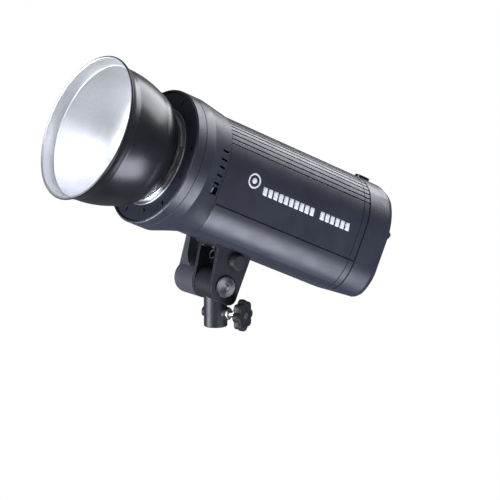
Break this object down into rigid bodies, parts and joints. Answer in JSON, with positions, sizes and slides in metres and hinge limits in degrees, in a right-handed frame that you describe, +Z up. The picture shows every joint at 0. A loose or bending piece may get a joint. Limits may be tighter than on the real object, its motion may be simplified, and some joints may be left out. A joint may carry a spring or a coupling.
{
  "type": "monolight strobe",
  "caption": "Battery studio flash head with a round metal reflector, rear control panel and pull-out battery on a tilting stand adapter with lever and star knob.",
  "frame": {"origin": "centre of the mouth of the stand socket", "axes": "+Z up along the stand, +X horizontally the way the light points, +Y to the lamp's left; at rest the head is tilted 24 degrees nose up"},
  "size_m": [0.4706, 0.18, 0.3478],
  "materials": {
    "cast_metal": "satin grey-black paint",
    "black_plastic": "fine matt texture",
    "casing": "slate grey, fine texture",
    "casing_top": "slate grey paint over ribbed aluminium",
    "lever_grey": "light grey, satin",
    "knob_black": "matt",
    "bright_steel": "turned",
    "chrome": "polished",
    "blackened_steel": "blackened",
    "brass": "machined",
    "reflector": "gloss black outside, bright silver inside",
    "collar": "bright",
    "faceplate": "matt black",
    "flash_glass": "clear",
    "dome_glass": "frosted",
    "ceramic": "white ceramic",
    "aluminium": "extruded",
    "panel": "grey membrane",
    "lcd": "green tinted",
    "lcd_back": "reflective",
    "button": "matt",
    "button_blue": "translucent violet",
    "battery": "fine texture",
    "cell": "sleeved",
    "circuit": "circuit board",
    "can": "sleeved",
    "sensor": "dark smoked window"
  },
  "bodies": {
    "stand_adapter": {"stand_socket": "cast_metal", "clamp_thread_insert": "bright_steel", "socket_grub_screw": "bright_steel", "friction_washers": "black_plastic"},
    "stand_clamp_slide": {"clamp_pad": "brass"},
    "stand_clamp_knob": {"clamp_screw": "bright_steel", "clamp_collar": "chrome", "clamp_knob": "knob_black"},
    "head": {"tilt_yoke": "cast_metal", "yoke_screws": "blackened_steel", "umbrella_holder": "cast_metal", "pivot_bolt": "bright_steel", "front_housing": "casing", "mount_faceplate": "faceplate", "bayonet_ring": "bright_steel", "face_screws": "black_plastic", "flash_tube": "flash_glass", "flash_tube_base": "ceramic", "modelling_lamp": "ceramic", "lamp_heatsink": "aluminium", "glass_dome": "dome_glass", "front_bulkhead": "black_plastic", "upper_shell": "casing_top", "lower_shell": "casing", "rear_housing": "casing", "housing_screws": "bright_steel", "control_panel": "panel", "lcd_window": "lcd", "lcd_module": "lcd_back", "slave_sensor": "sensor", "sync_socket": "black_plastic", "usb_socket": "black_plastic", "control_board": "circuit", "battery_bay": "black_plastic", "flash_capacitors": "can", "power_board": "circuit", "fan_frame": "black_plastic"},
    "umbrella_clamp_slide": {"umbrella_lock_pad": "brass"},
    "umbrella_clamp_knob": {"umbrella_lock_screw": "bright_steel", "umbrella_lock_knob": "black_plastic"},
    "lever": {"tilt_lever": "lever_grey", "lever_nut": "bright_steel", "lever_cap": "black_plastic"},
    "bayonet_release": {"release_slider": "blackened_steel", "lock_pin": "bright_steel"},
    "reflector": {"reflector_bowl": "reflector", "reflector_mount_ring": "collar"},
    "fan": {"fan_rotor": "black_plastic"},
    "battery": {"battery_case": "battery", "battery_cells": "cell", "battery_end_cap": "battery", "battery_terminals": "brass"},
    "handle": {"battery_handle": "battery"},
    "battery_lock": {"battery_lock_button": "knob_black"},
    "test_button_cap": {"test_button": "button"},
    "power_button_cap": {"power_button": "button_blue"},
    "menu_button_cap": {"menu_button": "button"},
    "sync_button_cap": {"sync_button": "button"},
    "lamp_button_cap": {"lamp_button": "button"},
    "sound_button_cap": {"sound_button": "button"}
  },
  "joints": [
    {"name": "head_tilt", "type": "hinge", "parent": "stand_adapter", "child": "head", "pos_m": [0, 0, 0.0534], "axis": [0, 1, 0], "range_deg": [-51, 114]},
    {"name": "stand_clamp_travel", "type": "slide", "parent": "stand_adapter", "child": "stand_clamp_slide", "axis": [-0.4695, 0.8829, 0], "range_m": [-0.001, 0.004]},
    {"name": "stand_clamp_turn", "type": "hinge", "parent": "stand_clamp_slide", "child": "stand_clamp_knob", "pos_m": [-0.01549, 0.02914, 0.0172], "axis": [-0.4695, 0.8829, 0], "range_deg": [-290, 1160]},
    {"name": "umbrella_clamp_travel", "type": "slide", "parent": "head", "child": "umbrella_clamp_slide", "axis": [0, 1, 0], "range_m": [-0.0003, 0.003]},
    {"name": "umbrella_clamp_turn", "type": "hinge", "parent": "umbrella_clamp_slide", "child": "umbrella_clamp_knob", "pos_m": [-0.01637, 0.026, 0.08278], "axis": [0, 1, 0], "range_deg": [-140, 1365]},
    {"name": "tilt_lever_turn", "type": "hinge", "parent": "head", "child": "lever", "pos_m": [0, 0, 0.0534], "axis": [0, 1, 0], "range_deg": [-40, 100]},
    {"name": "reflector_twist", "type": "hinge", "parent": "head", "child": "reflector", "pos_m": [0.09858, 0, 0.22536], "axis": [0.9135, 0, 0.4067], "range_deg": [-30, 0]},
    {"name": "bayonet_release_slide", "type": "slide", "parent": "head", "child": "bayonet_release", "axis": [0.9135, 0, 0.4067], "range_m": [-0.005, 0], "stiffness_N_per_m": 400, "springref_m": 0.003},
    {"name": "fan_spin", "type": "hinge", "parent": "head", "child": "fan", "pos_m": [0.00457, 0, 0.2054], "axis": [0.9135, 0, 0.4067], "continuous": true},
    {"name": "battery_slide", "type": "slide", "parent": "head", "child": "battery", "axis": [-0.9135, 0, -0.4067], "range_m": [0, 0.12]},
    {"name": "battery_handle_swing", "type": "hinge", "parent": "battery", "child": "handle", "pos_m": [-0.20129, 0, 0.03986], "axis": [0, -1, 0], "range_deg": [0, 95]},
    {"name": "battery_lock_press", "type": "slide", "parent": "head", "child": "battery_lock", "axis": [0.9135, 0, 0.4067], "range_m": [0, 0.005], "stiffness_N_per_m": 300, "springref_m": -0.002},
    {"name": "test_button_press", "type": "slide", "parent": "head", "child": "test_button_cap", "axis": [0.9135, 0, 0.4067], "range_m": [0, 0.001], "stiffness_N_per_m": 800, "springref_m": -0.0005},
    {"name": "power_button_press", "type": "slide", "parent": "head", "child": "power_button_cap", "axis": [0.9135, 0, 0.4067], "range_m": [0, 0.001], "stiffness_N_per_m": 800, "springref_m": -0.0005},
    {"name": "menu_button_press", "type": "slide", "parent": "head", "child": "menu_button_cap", "axis": [0.9135, 0, 0.4067], "range_m": [0, 0.001], "stiffness_N_per_m": 800, "springref_m": -0.0005},
    {"name": "sync_button_press", "type": "slide", "parent": "head", "child": "sync_button_cap", "axis": [0.9135, 0, 0.4067], "range_m": [0, 0.001], "stiffness_N_per_m": 800, "springref_m": -0.0005},
    {"name": "lamp_button_press", "type": "slide", "parent": "head", "child": "lamp_button_cap", "axis": [0.9135, 0, 0.4067], "range_m": [0, 0.001], "stiffness_N_per_m": 800, "springref_m": -0.0005},
    {"name": "sound_button_press", "type": "slide", "parent": "head", "child": "sound_button_cap", "axis": [0.9135, 0, 0.4067], "range_m": [0, 0.001], "stiffness_N_per_m": 800, "springref_m": -0.0005}
  ],
  "couplings": [
    {"joint": "stand_clamp_turn", "follows": "stand_clamp_travel", "rad_per_m": 5026.5},
    {"joint": "umbrella_clamp_turn", "follows": "umbrella_clamp_travel", "rad_per_m": 7854}
  ]
}
